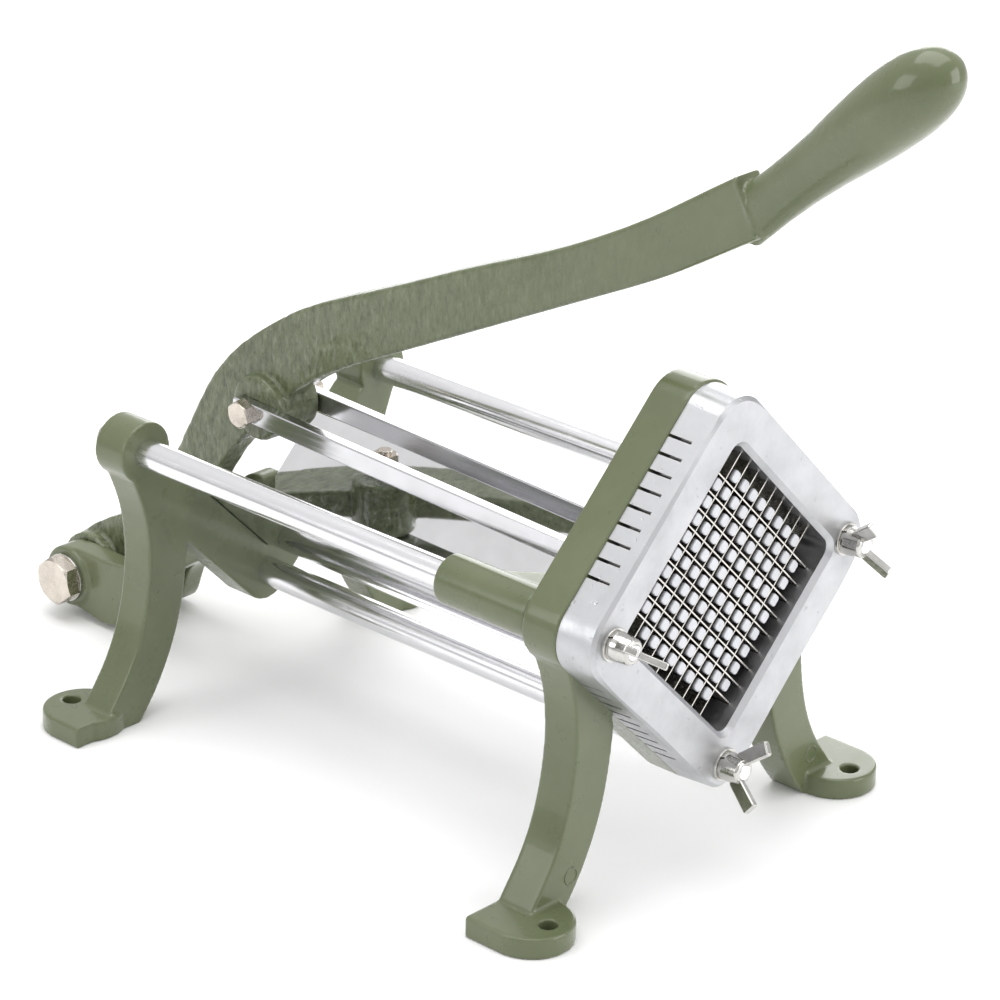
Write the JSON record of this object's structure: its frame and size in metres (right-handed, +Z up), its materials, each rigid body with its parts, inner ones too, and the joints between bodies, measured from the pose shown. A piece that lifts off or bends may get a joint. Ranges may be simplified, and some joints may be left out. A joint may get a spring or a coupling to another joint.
{
  "type": "vegetable dicer",
  "caption": "Hand-lever vegetable dicer: arched cast legs, guide rods, a V-shaped chamber and a pusher with round pins that presses food through a square grid of blades.",
  "frame": {"origin": "centre of the four foot bolt holes, on the table plane", "axes": "+X is the push direction, from the lever pivot end towards the blades; +Z up; +Y to the operator's left when facing the push direction"},
  "size_m": [0.5669, 0.269, 0.4342],
  "materials": {
    "frame_enamel": "glossy sage-green enamel over a casting",
    "lever_enamel": "glossy sage-green enamel over a rough casting",
    "polished_rod": "ground and polished",
    "polished_link": "plated flat bar",
    "polished_sheet": "polished stainless sheet",
    "holder_aluminium": "polished casting, fine scratches",
    "pin_block_aluminium": "satin casting",
    "blade_steel": "ground strip",
    "zinc_fastener": "bright zinc plate",
    "nickel_bolt": "nickel plate, warm tint"
  },
  "bodies": {
    "base": {"front_frame": "frame_enamel", "rear_frame": "frame_enamel", "guide_rod_right": "polished_rod", "guide_rod_left": "polished_rod", "guide_rod_bottom": "polished_rod", "rear_rod_bolts": "zinc_fastener", "blade_holder": "holder_aluminium", "blades_first_layer": "blade_steel", "blades_cross_layer": "blade_steel", "liner_trough": "polished_sheet", "holder_flat_washers": "zinc_fastener", "holder_lock_washers": "zinc_fastener", "pivot_bolt": "nickel_bolt", "pivot_nut": "nickel_bolt", "pivot_washers": "zinc_fastener"},
    "lever": {"lever": "lever_enamel"},
    "links": {"link_right": "polished_link", "link_left": "polished_link", "lever_link_bolt": "nickel_bolt", "lever_link_nut": "nickel_bolt", "pusher_link_bolt": "nickel_bolt", "pusher_link_nut": "nickel_bolt"},
    "pusher": {"pusher_carriage": "frame_enamel", "pusher_pin_block": "pin_block_aluminium", "pusher_screws": "zinc_fastener"},
    "wing_nut_right": {"wing_nut_right": "zinc_fastener"},
    "wing_nut_left": {"wing_nut_left": "zinc_fastener"},
    "wing_nut_bottom": {"wing_nut_bottom": "zinc_fastener"}
  },
  "joints": [
    {"name": "lever_pivot", "type": "hinge", "parent": "base", "child": "lever", "pos_m": [-0.262, 0, 0.0225], "axis": [0, -1, 0], "range_deg": [0, 55]},
    {"name": "link_pivot", "type": "hinge", "parent": "lever", "child": "links", "pos_m": [-0.131, 0, 0.1545], "axis": [0, -1, 0], "range_deg": [-68, 0]},
    {"name": "pusher_slide", "type": "slide", "parent": "base", "child": "pusher", "axis": [-1, 0, 0], "range_m": [0, 0.172]},
    {"name": "wing_nut_right_turn", "type": "hinge", "parent": "base", "child": "wing_nut_right", "pos_m": [0.185, -0.0848, 0.1485], "axis": [1, 0, 0], "continuous": true},
    {"name": "wing_nut_left_turn", "type": "hinge", "parent": "base", "child": "wing_nut_left", "pos_m": [0.185, 0.0848, 0.1485], "axis": [1, 0, 0], "continuous": true},
    {"name": "wing_nut_bottom_turn", "type": "hinge", "parent": "base", "child": "wing_nut_bottom", "pos_m": [0.185, 0, 0.0571], "axis": [1, 0, 0], "continuous": true}
  ],
  "couplings": [
    {"joint": "link_pivot", "follows": "lever_pivot", "ratio": -1.233},
    {"joint": "pusher_slide", "follows": "lever_pivot", "m_per_rad": 0.17877}
  ]
}
